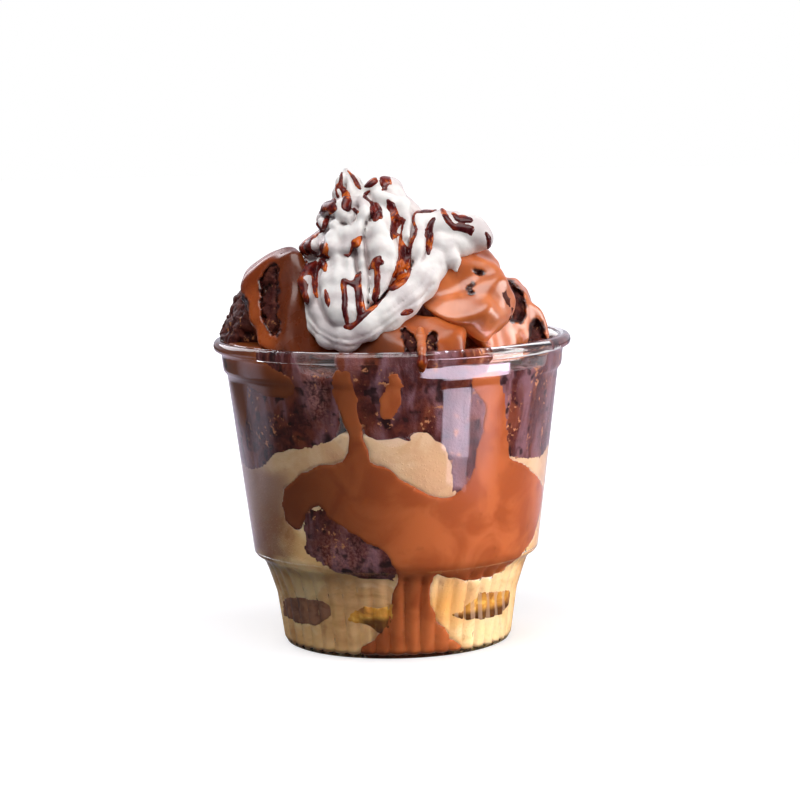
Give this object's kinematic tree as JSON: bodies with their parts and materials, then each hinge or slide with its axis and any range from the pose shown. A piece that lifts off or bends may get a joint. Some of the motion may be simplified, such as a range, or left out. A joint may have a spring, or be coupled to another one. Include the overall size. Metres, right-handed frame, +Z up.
{
  "type": "brownie sundae",
  "caption": "Brownie sundae in a clear fluted cup: ice cream, brownie chunks and chocolate sauce, topped with piped whipped cream and syrup.",
  "frame": {"origin": "centre of the cup's foot, on the table", "axes": "+Z up, -Y towards the viewer, +X to the viewer's right"},
  "size_m": [0.098, 0.098, 0.1307],
  "materials": {
    "clear_cup": null,
    "coated_brownie": "brownie under a thick glossy milk chocolate sauce, which gloss_plastic stands in for",
    "brownie": "dark, moist, craggy brownie crumb, which matte_plastic stands in for",
    "whipped_cream": "soft satin whipped cream with thin chocolate syrup, which matte_plastic stands in for",
    "chocolate_sauce": "smooth glossy milk chocolate sauce, which gloss_plastic stands in for",
    "ice_cream": "soft satin vanilla ice cream, which matte_plastic stands in for"
  },
  "bodies": {
    "root": {"cup": "clear_cup", "brownie_top_left": "coated_brownie", "brownie_left": "brownie", "brownie_right": "coated_brownie", "brownie_front": "coated_brownie", "brownie_far_right": "coated_brownie", "brownie_middle": "brownie", "brownie_back": "brownie", "brownie_back_left": "brownie", "brownie_back_right": "brownie", "inner_left": "brownie", "inner_middle": "brownie", "inner_right": "brownie", "inner_side": "brownie", "inner_back": "brownie", "inner_rear": "brownie", "inner_far": "brownie", "brownie_low": "brownie", "whipped_cream": "whipped_cream", "chocolate_sauce": "chocolate_sauce", "ice_cream": "ice_cream"}
  },
  "joints": []
}
